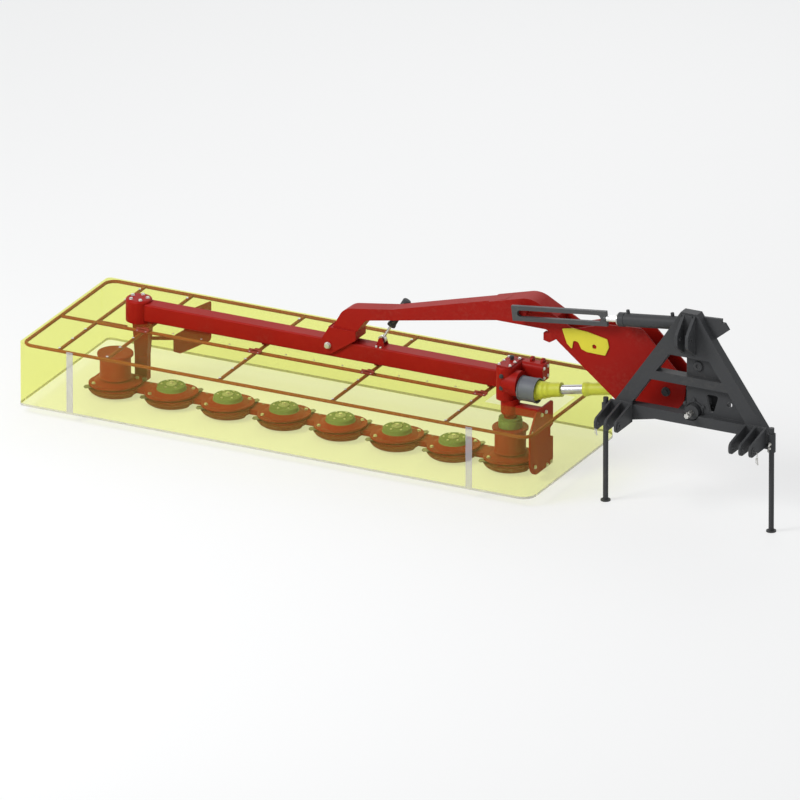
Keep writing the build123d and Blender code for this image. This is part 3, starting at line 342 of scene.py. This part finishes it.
class Fitting:
    """One mesh of small parts that share a finish and ride on one body."""

    def __init__(self, name, body, finish, slot):
        self.name = name
        self.body = body
        self.finish = finish
        self.slot = slot
        self.mesh = bmesh.new()

    def stack(self, rings, place, axis=(0, 0, 1), sides=24, turn=0.0):
        """Rings of a radius and a height in millimetres, stacked along an axis, with both ends closed."""
        frame_turn = Vector(axis).to_track_quat("Z", "Y").to_matrix().to_4x4()
        matrix = Matrix.Translation(at(*place)) @ frame_turn @ Matrix.Rotation(turn, 4, "Z")
        loops = []
        for radius, height in rings:
            loop = []
            for index in range(sides):
                angle = 2 * math.pi * index / sides
                point = Vector((radius * math.cos(angle), radius * math.sin(angle), height)) / 1000
                loop.append(self.mesh.verts.new(matrix @ point))
            loops.append(loop)
        for low, high in zip(loops, loops[1:]):
            for index in range(sides):
                after = (index + 1) % sides
                self.mesh.faces.new((low[index], low[after], high[after], high[index]))
        self.mesh.faces.new(loops[0][::-1])
        self.mesh.faces.new(loops[-1])

    def bolt(self, place, axis, size=12.0, washer=True, turn=None):
        """A hexagon head of a thread size, chamfered, on its washer."""
        across = size * 0.98
        height = size * 0.64
        foot = 0.0
        if washer:
            self.stack([(across * 1.12, -0.5), (across * 1.12, 1.6), (across * 1.05, 2.2)], place, axis, 20)
            foot = 2.2
        angle = random.random() * math.pi if turn is None else turn
        rings = [(across, foot - 0.2), (across, foot + height * 0.82), (across * 0.84, foot + height)]
        self.stack(rings, place, axis, 6, angle)

    def slab(self, low, high, edge=1.5):
        """A block between two corners with chamfered edges."""
        low = Vector(low)
        high = Vector(high)
        corners = []
        for z in (low.z, high.z):
            for x, y in ((low.x, low.y), (high.x, low.y), (high.x, high.y), (low.x, high.y)):
                corners.append(self.mesh.verts.new(at(x, y, z)))
        faces = ((3, 2, 1, 0), (4, 5, 6, 7), (0, 1, 5, 4), (1, 2, 6, 5), (2, 3, 7, 6), (3, 0, 4, 7))
        made = [self.mesh.faces.new([corners[index] for index in face]) for face in faces]
        edges = list({side for face in made for side in face.edges})
        bmesh.ops.bevel(self.mesh, geom=edges, offset=edge / 1000, segments=2, affect="EDGES")

    def rod(self, points, radius, sides=10, ripple=0.0):
        """A round rod through points in millimetres, such as a bent pin or a weld bead."""
        places = [at(*point) for point in points]
        loops = []
        for index, place in enumerate(places):
            before = places[max(0, index - 1)]
            after = places[min(len(places) - 1, index + 1)]
            turned = (after - before).to_track_quat("Z", "Y").to_matrix()
            size = radius * (1 + ripple * random.uniform(-1, 1))
            loop = []
            for side in range(sides):
                angle = 2 * math.pi * side / sides
                spoke = Vector((math.cos(angle), math.sin(angle), 0)) * size / 1000
                loop.append(self.mesh.verts.new(place + turned @ spoke))
            loops.append(loop)
        for low, high in zip(loops, loops[1:]):
            for side in range(sides):
                after = (side + 1) % sides
                self.mesh.faces.new((low[side], low[after], high[after], high[side]))
        self.mesh.faces.new(loops[0][::-1])
        self.mesh.faces.new(loops[-1])

    def collar(self, inner, outer, thick, place, axis, sides=28):
        """A flat ring, such as a welded boss round a bore."""
        turned = Vector(axis).to_track_quat("Z", "Y").to_matrix().to_4x4()
        matrix = Matrix.Translation(at(*place)) @ turned
        edge = thick * 0.25
        profile = [(inner, 0), (outer, 0), (outer, thick - edge), (outer - edge, thick), (inner, thick)]
        loops = []
        for index in range(sides):
            angle = 2 * math.pi * index / sides
            across, along = math.cos(angle), math.sin(angle)
            spots = [Vector((radius * across, radius * along, height)) / 1000 for radius, height in profile]
            loops.append([self.mesh.verts.new(matrix @ spot) for spot in spots])
        for index in range(sides):
            here, there = loops[index], loops[(index + 1) % sides]
            for spot in range(len(profile)):
                after = (spot + 1) % len(profile)
                self.mesh.faces.new((here[spot], there[spot], there[after], here[after]))

    def band(self, path, low, high, thick):
        """An upright strip that follows a path in plan, to the left of its direction."""
        rows = []
        for index, point in enumerate(path):
            before = Vector(path[max(0, index - 1)])
            after = Vector(path[min(len(path) - 1, index + 1)])
            along = (after - before).normalized()
            out = Vector((-along.y, along.x)) * thick
            x, y = point
            spots = ((x, y, low), (x + out.x, y + out.y, low), (x + out.x, y + out.y, high), (x, y, high))
            rows.append([self.mesh.verts.new(at(*spot)) for spot in spots])
        for here, there in zip(rows, rows[1:]):
            for spot in range(4):
                after = (spot + 1) % 4
                self.mesh.faces.new((here[spot], there[spot], there[after], here[after]))
        self.mesh.faces.new(rows[0])
        self.mesh.faces.new(rows[-1][::-1])

    def place(self):
        """Turn what was gathered into a piece of the scene."""
        bmesh.ops.recalc_face_normals(self.mesh, faces=self.mesh.faces)
        mesh = bpy.data.meshes.new(self.name)
        self.mesh.to_mesh(mesh)
        self.mesh.free()
        round_shading(mesh)
        piece = bpy.data.objects.new(self.name, mesh)
        bpy.context.scene.collection.objects.link(piece)
        wear(piece, self.finish)
        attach(piece, self.body)
        return piece


NORTH, SOUTH = (0, 1, 0), (0, -1, 0)
EAST = (1, 0, 0)
UP, DOWN = (0, 0, 1), (0, 0, -1)

# Places in millimetres from the hitch: the discs, the arm's pivot, the beam's pivot, the input shaft,
# the stands, the lower and top link pins, and the bevel gearbox
DISC_PITCH = 400
DISC_X = [-4163 + DISC_PITCH * index for index in range(8)]
DISC_Y = 430
LIFT_X, LIFT_Z = -250, 730
TILT_X, TILT_Z = -2665, 588
INPUT_X, INPUT_Z = 15, 700
INPUT_FACE_Y = 250
STAND_X = 580
LINK_PIN_Z = 606
TOP_PIN_Y, TOP_PIN_Z = 130, 1216
GEARBOX_X = -1390


def circle(count):
    """Angles once round, the last the same as the first."""
    return [2 * math.pi * index / count for index in range(count + 1)]


def weld_line(fitting, start, end, radius=3.2):
    """A straight weld bead with the ripples of its passes."""
    start, end = Vector(start), Vector(end)
    count = max(3, int((end - start).length / 5))
    points = [tuple(start.lerp(end, index / count)) for index in range(count + 1)]
    fitting.rod(points, radius, 6, 0.16)


def dress_headstock():
    """Fasteners, bosses, welds and pins of the hitch frame."""
    dark = Fitting("headstock_dark_bolts", "headstock", "dark", "dark_paint")
    flange_ring = 74
    for index in range(6):
        angle = math.radians(60 * index + 30)
        x = INPUT_X + flange_ring * math.cos(angle)
        z = INPUT_Z + flange_ring * math.sin(angle)
        dark.bolt((x, INPUT_FACE_Y, z), SOUTH, 12)
    dark.bolt((LIFT_X, 380, LIFT_Z), SOUTH, 24)
    dark.bolt((LIFT_X, 548, LIFT_Z), NORTH, 24)
    dark.stack([(33.6, -4), (33.6, 22), (29, 27), (14, 27), (12, 20)], (43, 266, 1005), SOUTH, 40)
    dark.place()
    bolts = Fitting("headstock_bolts", "headstock", "steel", "bright_steel")
    for x in (-40, 45, 130):
        for y in (438, 490):
            bolts.bolt((x, y, 765), UP, 10)
    for y in (438, 490):
        for z in (650, 745):
            bolts.bolt((150, y, z), EAST, 10)
    for side in (-1, 1):
        bolts.bolt((side * STAND_X, 175, 570), SOUTH, 8)
    bolts.place()

    bosses = Fitting("hitch_bosses", "headstock", "dark", "dark_paint")
    for side in (-1, 1):
        bosses.collar(13.2, 24, 4, (side * 47, TOP_PIN_Y, TOP_PIN_Z), (side, 0, 0))
        bosses.collar(14.8, 27, 4, (side * 547.5, 0, LINK_PIN_Z), (side, 0, 0))
        bosses.collar(14.8, 27, 4, (side * 392.5, 0, LINK_PIN_Z), (-side, 0, 0))
    bosses.collar(54.5, 66, 6, (INPUT_X, INPUT_FACE_Y, INPUT_Z), SOUTH, 40)
    bosses.place()

    beads = Fitting("headstock_welds", "headstock", "dark", "dark_paint")
    for side in (-1, 1):
        for x in (400, 470, 540):
            for edge in (-8.5, 8.5):
                weld_line(beads, (side * x + edge, 183.5, 572), (side * x + edge, 183.5, 692))
        for edge in (27.5, 47.5):
            weld_line(beads, (side * edge, 187, 1100), (side * edge, 187, 1358))
        weld_line(beads, (side * 392, 199, 695), (side * 548, 199, 695))
    weld_line(beads, (-60, 271, 629), (150, 271, 629))
    beads.place()

    for side, name in ((-1, "left"), (1, "right")):
        pin = Fitting(f"locking_pin_{name}", "headstock", "steel", "bright_steel")
        x = side * STAND_X
        pin.rod([(x, 238, 600), (x, 170, 600), (x, 162, 597), (x, 158, 590), (x, 158, 552)], 6, 12)
        pin.collar(6, 11, 3, (x, 175, 600), SOUTH, 16)
        pin.place()
        linch = Fitting(f"linch_pin_{name}", "headstock", "steel", "bright_steel")
        x = side * 556
        hook = [(547, 30, 590), (560, 30, 590), (563, 30, 584), (563, 30, 578)]
        linch.rod([(side * across, y, z) for across, y, z in hook], 2, 8)
        link = [(x + side * 7, 30 + 5 * math.sin(turn), 574 + 7 * math.cos(turn)) for turn in circle(12)]
        linch.rod(link, 1.4, 6)
        low = [(x + side * 7 + 5 * math.sin(turn), 30, 562 + 7 * math.cos(turn)) for turn in circle(12)]
        linch.rod(low, 1.4, 6)
        loop = [(x + side * 7, 22 + 17 * math.sin(turn), 541 + 17 * math.cos(turn)) for turn in circle(18)]
        linch.rod(loop, 1.8, 8)
        linch.rod([(x + side * 7, 18, 556), (x + side * 7, 26, 548), (x + side * 7, 38, 506)], 5, 12)
        linch.place()


def make_input_shaft():
    """The input shaft with its six splines and the groove for the yoke's lock."""
    shaft = Fitting("splined_shaft", "headstock", "steel", "bright_steel")
    steps = [(0, 1.0), (46, 1.0), (48, 0.78), (56, 0.78), (58, 1.0), (74, 1.0), (76, 0.86)]
    tip, root, back_y = 17.4, 14.2, 210
    points_a_ridge = 6
    count = 2 * 6 * points_a_ridge
    loops = []
    for along, share in steps:
        loop = []
        for index in range(count):
            ridge = (index // points_a_ridge) % 2 == 0
            radius = tip * share if ridge else min(root, tip * share)
            angle = 2 * math.pi * index / count
            x = INPUT_X + radius * math.cos(angle)
            z = INPUT_Z + radius * math.sin(angle)
            spot = at(x, back_y - along, z)
            loop.append(shaft.mesh.verts.new(spot))
        loops.append(loop)
    for low, high in zip(loops, loops[1:]):
        for index in range(count):
            after = (index + 1) % count
            shaft.mesh.faces.new((low[index], low[after], high[after], high[index]))
    shaft.mesh.faces.new(loops[0][::-1])
    shaft.mesh.faces.new(loops[-1])
    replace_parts(shaft.place(), "input_shaft")


def dress_arm():
    """Caps of the pivots, welds and grease points of the arm."""
    caps = Fitting("arm_bolts", "arm", "steel", "bright_steel")
    caps.bolt((TILT_X, 449, TILT_Z), SOUTH, 20)
    caps.bolt((TILT_X, 611, TILT_Z), NORTH, 20)
    caps.stack([(9, -1), (9, 3), (5, 5), (3, 10)], (-2600, 525, 708), UP, 12)
    caps.place()
    beads = Fitting("arm_welds", "arm", "red", "red_paint")
    for y in (402.5, 525.5):
        weld_line(beads, (-1030, y, 1003), (-700, y, 740), 3.5)
    for x in (-2659, -2471):
        weld_line(beads, (x, 457, 713), (x, 603, 713), 3.5)
    beads.place()


def dress_mower():
    """Fasteners of the beam, its gearbox, the leg, the side plate and the cutter bar."""
    bolts = Fitting("beam_bolts", "mower", "steel", "bright_steel")
    for index in range(5):
        angle = 2 * math.pi * index / 5 + 0.3
        bolts.bolt((-4044 + 56 * math.cos(angle), 530 + 56 * math.sin(angle), 640), UP, 12)
    for x in (GEARBOX_X - 38, GEARBOX_X + 38):
        for y in (400, 470, 540):
            bolts.bolt((x, y, 700), UP, 10)
    for x in (-1370, -1290, -1210):
        for z in (600, 665):
            bolts.bolt((x, 615, z), NORTH, 10)
    for y, z in ((535, 600), (535, 665), (590, 600), (590, 665)):
        bolts.bolt((-1180, y, z), EAST, 10)
    for y, z in ((262, 330), (395, 410), (455, 410), (470, 45), (530, 45), (300, 90)):
        bolts.bolt((-1126, y, z), EAST, 12)
    for x in (-4116, -4072):
        for z in (70, 120, 160):
            bolts.bolt((x, 703, z), NORTH, 10)
    for x in (-2340, -2310):
        bolts.bolt((x, 490, 621), UP, 8)
    bolts.place()

    bar = Fitting("cutter_bar_bolts", "mower", "blade", "blade_steel")
    bar_bolt_pitch = 50
    for x in range(-4320, -1200, bar_bolt_pitch):
        under_the_leg = -4075 < x < -3970
        if not under_the_leg:
            bar.stack([(7.5, -1), (7.5, 0.5), (6.5, 1)], (x, 546, 62), UP, 16)
    bar.place()

    plates = Fitting("gearbox_covers", "mower", "red", "red_paint")
    plates.slab((-1440, 376, 693), (-1340, 565, 700), 2)
    plates.slab((-1385, 613, 588), (-1195, 618, 678), 2)
    plates.place()
    plugs = Fitting("gearbox_plugs", "mower", "rubber", "dark_paint")
    plugs.stack([(11, 0), (11, 10), (15, 12), (15, 24), (9, 29)], (GEARBOX_X, 505, 700), UP, 18)
    plugs.bolt((GEARBOX_X, 355, 640), SOUTH, 14)
    plugs.bolt((GEARBOX_X, 355, 560), SOUTH, 14)
    plugs.place()

    beads = Fitting("mower_welds", "mower", "red", "red_paint")
    for y in (518, 578):
        weld_line(beads, (-2353, y - 0.5, 622), (-2297, y - 0.5, 622), 3)
    beads.place()


# The guard box in plan, its corners, its rails, and the levels of the hem and the top sheet
COVER_X0, COVER_X1, COVER_Y0, COVER_Y1 = -4555, -938, -153, 1099
OUTER_CORNER, INNER_CORNER = 34, 90
CROSS_RAIL_X = [-4279, -3940, -3142, -2344, -1546]
HEM_LOW, HEM_HIGH = 58, 74
CURTAIN_TOP, SHEET_TOP = 483, 488


def bend(corner_x, corner_y, radius, start):
    """Points of a rounded corner in plan, a quarter turn from a start angle in degrees."""
    centre_x = corner_x + radius * (1 if corner_x == COVER_X0 else -1)
    centre_y = corner_y + radius * (1 if corner_y == COVER_Y0 else -1)
    turns = [math.radians(start + 90 * step / 14) for step in range(15)]
    return [(centre_x + radius * math.cos(turn), centre_y + radius * math.sin(turn)) for turn in turns]


def dress_cover():
    """Hem, strips and fasteners of the see-through sheets."""
    x0, x1, y0, y1 = COVER_X0, COVER_X1, COVER_Y0, COVER_Y1
    front = bend(x0, y0, OUTER_CORNER, 180) + bend(x1, y0, INNER_CORNER, 270)
    rear = bend(x1, y1, INNER_CORNER, 0) + bend(x0, y1, OUTER_CORNER, 90)
    reach = INNER_CORNER
    hems = {
        "front": ("flap", [(x0, y0 + reach)] + front + [(x1, y0 + reach)]),
        "rear": ("mower", [(x1, y1 - reach)] + rear + [(x0, y1 - reach)]),
        "outer": ("mower", [(x0, y1 - reach - 6), (x0, y0 + reach + 10)]),
        "inner": ("mower", [(x1, y0 + reach + 10), (x1, y1 - reach - 6)]),
    }
    for name, (body, path) in hems.items():
        hem = Fitting(f"hem_{name}", body, "hem", "cover_film")
        hem.band(path[::-1], HEM_LOW, HEM_HIGH, 1.6)
        hem.place()
    strips = Fitting("curtain_strips", "flap", "hem", "cover_film")
    half_strip = 23
    for x in (-4191, -1367):
        strips.band([(x + half_strip, y0), (x - half_strip, y0)], HEM_HIGH, CURTAIN_TOP, 1.4)
    strips.place()

    rivets = Fitting("cover_rivets", "mower", "steel", "bright_steel")
    large = [(9, -0.5), (9, 0.8), (6, 2.6)]
    small = [(7, -0.5), (7, 0.8), (4.5, 2.2)]
    hinge_screw = [(5, -0.5), (5, 0.8), (3, 2)]
    for x in CROSS_RAIL_X:
        for y in (620, 800, 1000):
            if x != CROSS_RAIL_X[0] or y > 700:
                rivets.stack(large, (x, y, SHEET_TOP), UP, 16)
    for x in range(-3940, -1440, 200):
        rivets.stack(small, (x, 411, SHEET_TOP), UP, 14)
    rivets.place()
    rivets = Fitting("flap_rivets", "flap", "steel", "bright_steel")
    for x in CROSS_RAIL_X:
        for y in (-120, 60, 240):
            rivets.stack(large, (x, y, SHEET_TOP), UP, 16)
    for x in CROSS_RAIL_X[1:]:
        for side in (-30, 30):
            rivets.stack(hinge_screw, (x + side, 358, SHEET_TOP + 3), UP, 12)
    rivets.place()


# Levels of a skid dish: height, radius in front, half width and depth behind
SHOE_LEVELS = [
    (0.5, 92, 92, 104),
    (6, 122, 112, 118),
    (16, 150, 120, 126),
    (25, 163, 120, 129),
    (42, 175, 120, 128),
    (51, 177, 120, 128),
    (54, 172, 120, 128),
]


def make_shoes():
    """The skid under each disc: a dish round the bar's front edge that runs out flat to the rear."""
    shoes = Fitting("skid_dishes", "mower", "shoe", "blade_steel")
    count = 64
    squareness = 6
    blend = 0.4
    for centre in DISC_X:
        loops = []
        for height, front, half, depth in SHOE_LEVELS:
            loop = []
            for index in range(count):
                turn = 2 * math.pi * index / count
                across, along = math.cos(turn), math.sin(turn)
                if along < 0:
                    share = min(1.0, -along / blend)
                    radius = half + (front - half) * share * share * (3 - 2 * share)
                else:
                    spread = abs(across / half) ** squareness + (along / depth) ** squareness
                    radius = spread ** (-1 / squareness)
                spot = at(centre + radius * across, DISC_Y + radius * along, height)
                loop.append(shoes.mesh.verts.new(spot))
            loops.append(loop)
        for low, high in zip(loops, loops[1:]):
            for index in range(count):
                after = (index + 1) % count
                shoes.mesh.faces.new((low[index], low[after], high[after], high[index]))
        shoes.mesh.faces.new(loops[0][::-1])
        shoes.mesh.faces.new(loops[-1])
    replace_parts(shoes.place(), "skid_shoes")


# Levels of the inner drum's top and of its hub's, and the rings of the cap's and the knives' bolts
DRUM_TOP = 280
HUB_TOP = 342
CAP_RING, KNIFE_RING = 64, 146


def dress_rotors():
    """The cap, its bolts and the knife bolts of every disc."""
    for index, x in enumerate(DISC_X):
        body = f"rotor_{index + 1}"
        bolts = Fitting(f"disc_bolts_{index + 1}", body, "steel", "bright_steel")
        if index == 7:
            sleeve = Fitting("hub_sleeve", body, "cap", "dark_paint")
            sleeve.collar(73.2, 77, HUB_TOP - DRUM_TOP - 2, (x, DISC_Y, DRUM_TOP), UP, 48)
            sleeve.collar(43, 74, 1.6, (x, DISC_Y, HUB_TOP - 0.4), UP, 48)
            sleeve.place()
        elif index:
            cap = Fitting(f"disc_cap_{index + 1}", body, "cap", "dark_paint")
            dish = [(97, 101), (97, 105), (93, 108), (90, 127), (85, 131), (44, 133)]
            cap.stack(dish, (x, DISC_Y, 0), UP, 56)
            cap.place()
            hub = Fitting(f"disc_hub_{index + 1}", body, "hub", "bright_steel")
            hub.stack([(36, 131), (36, 137), (33, 140), (14, 140.6)], (x, DISC_Y, 0), UP, 40)
            hub.place()
            for step in range(6):
                turn = math.radians(60 * step + 20)
                across, along = CAP_RING * math.cos(turn), CAP_RING * math.sin(turn)
                bolts.bolt((x + across, DISC_Y + along, 132), UP, 8, False)
            bolts.bolt((x, DISC_Y, 140), UP, 14)
        for side in (-1, 1):
            reach = KNIFE_RING * side
            turn = math.radians(45)
            spot = (x + reach * math.cos(turn), DISC_Y + reach * math.sin(turn), 84)
            bolts.bolt(spot, UP, 12)
            bolts.stack([(13, 0), (13, 2), (9, 3.4)], (spot[0], spot[1], 67), DOWN, 20)
        bolts.place()


def dress_cylinder():
    """Ports and gland of the lift cylinder."""
    base, pin = (CYLINDER_BASE - HITCH) * 1000, (CYLINDER_PIN - HITCH) * 1000
    along = (pin - base).normalized()
    gland = Fitting("cylinder_gland", "cylinder", "steel", "bright_steel")
    gland.collar(20.3, 40, 12, tuple(base + along * 458), tuple(along), 24)
    gland.place()
    plug = Fitting("port_plugs", "cylinder", "rubber", "dark_paint")
    across = Vector((-along.z, 0, along.x))
    if across.z < 0:
        across = -across
    for place in (80, 393):
        plug.bolt(tuple(base + along * place + across * 60), tuple(across), 12, False)
    plug.place()


dress_headstock()
make_input_shaft()
dress_arm()
dress_mower()
dress_cover()
make_shoes()
dress_rotors()
dress_cylinder()


# The rays that see the white backdrop: the camera's, and those that metal and clear sheets send on
BACKDROP_RAYS = ("Is Camera Ray", "Is Glossy Ray", "Is Transmission Ray")


def make_floor():
    """A pale floor that fades into a white world for the camera."""
    size = 120.0
    own_white = 0.6
    mesh = bpy.data.meshes.new("floor")
    half = size / 2
    corners = [(-half, -half, 0), (half, -half, 0), (half, half, 0), (-half, half, 0)]
    mesh.from_pydata(corners, [], [(0, 1, 2, 3)])
    floor = bpy.data.objects.new("floor", mesh)
    bpy.context.scene.collection.objects.link(floor)
    finish = Finish("floor_finish")
    speckle = finish.noise(90.0, 3.0)
    shade = finish.mix(speckle.step(0.3, 0.7) * 0.3, (0.9, 0.9, 0.89), (0.86, 0.86, 0.855))
    lit = finish.principled(Base_Color=shade, Roughness=0.75)
    white = finish.add("ShaderNodeEmission", {}, {"Color": (1.0, 1.0, 1.0, 1.0), "Strength": 1.0})
    seen = sum(finish.add("ShaderNodeLightPath", {}, {}, ray) for ray in BACKDROP_RAYS)
    both = finish.add("ShaderNodeMixShader", {}, {0: seen * own_white, 1: lit, 2: white})
    floor.data.materials.append(finish.close(both))


def make_world():
    """A plain pale surrounding that lights the machine softly and shows white to the camera."""
    world = bpy.data.worlds.new("surroundings")
    bpy.context.scene.world = world
    world.use_nodes = True
    tree = world.node_tree
    tree.nodes.clear()
    path = tree.nodes.new("ShaderNodeLightPath")
    back = tree.nodes.new("ShaderNodeBackground")
    soft = tree.nodes.new("ShaderNodeBackground")
    mixer = tree.nodes.new("ShaderNodeMixShader")
    either = tree.nodes.new("ShaderNodeMath")
    any_ray = tree.nodes.new("ShaderNodeMath")
    output = tree.nodes.new("ShaderNodeOutputWorld")
    soft.inputs["Color"].default_value = (0.93, 0.96, 1.0, 1.0)
    soft.inputs["Strength"].default_value = 0.5
    back.inputs["Color"].default_value = (1.0, 1.0, 1.0, 1.0)
    back.inputs["Strength"].default_value = 1.0
    for index, ray in enumerate(BACKDROP_RAYS[:2]):
        tree.links.new(path.outputs[ray], either.inputs[index])
    tree.links.new(either.outputs[0], any_ray.inputs[0])
    tree.links.new(path.outputs[BACKDROP_RAYS[2]], any_ray.inputs[1])
    tree.links.new(any_ray.outputs[0], mixer.inputs[0])
    tree.links.new(soft.outputs[0], mixer.inputs[1])
    tree.links.new(back.outputs[0], mixer.inputs[2])
    tree.links.new(mixer.outputs[0], output.inputs["Surface"])


def make_lamp(name, place, size, power):
    """A square studio lamp that faces the middle of the machine."""
    data = bpy.data.lights.new(name, "AREA")
    data.shape = "SQUARE"
    data.size = size
    data.energy = power
    lamp = bpy.data.objects.new(name, data)
    lamp.location = place
    lamp.rotation_euler = (Vector((0, 0, 0.5)) - place).to_track_quat("-Z", "Y").to_euler()
    bpy.context.scene.collection.objects.link(lamp)


def make_camera():
    """The camera at the photograph's angle, far off behind a long lens."""
    data = bpy.data.cameras.new("camera")
    data.sensor_width = SENSOR
    data.lens = LENS
    data.clip_start = 0.1
    data.clip_end = 900
    camera = bpy.data.objects.new("camera", data)
    toward = Vector(
        (
            -math.sin(AZIMUTH) * math.cos(ELEVATION),
            math.cos(AZIMUTH) * math.cos(ELEVATION),
            -math.sin(ELEVATION),
        )
    )
    camera.location = TARGET - toward * CAMERA_DISTANCE
    camera.rotation_euler = toward.to_track_quat("-Z", "Y").to_euler()
    bpy.context.scene.collection.objects.link(camera)
    bpy.context.scene.camera = camera


make_floor()
make_world()
make_lamp("key", Vector((-4.5, -6.5, 7.5)), 4.0, 720)
make_lamp("fill", Vector((6.5, -3.0, 4.0)), 4.0, 12)
make_lamp("rear", Vector((-2.0, 7.0, 6.0)), 5.0, 110)
make_camera()

bpy.context.scene.view_settings.view_transform = "Standard"
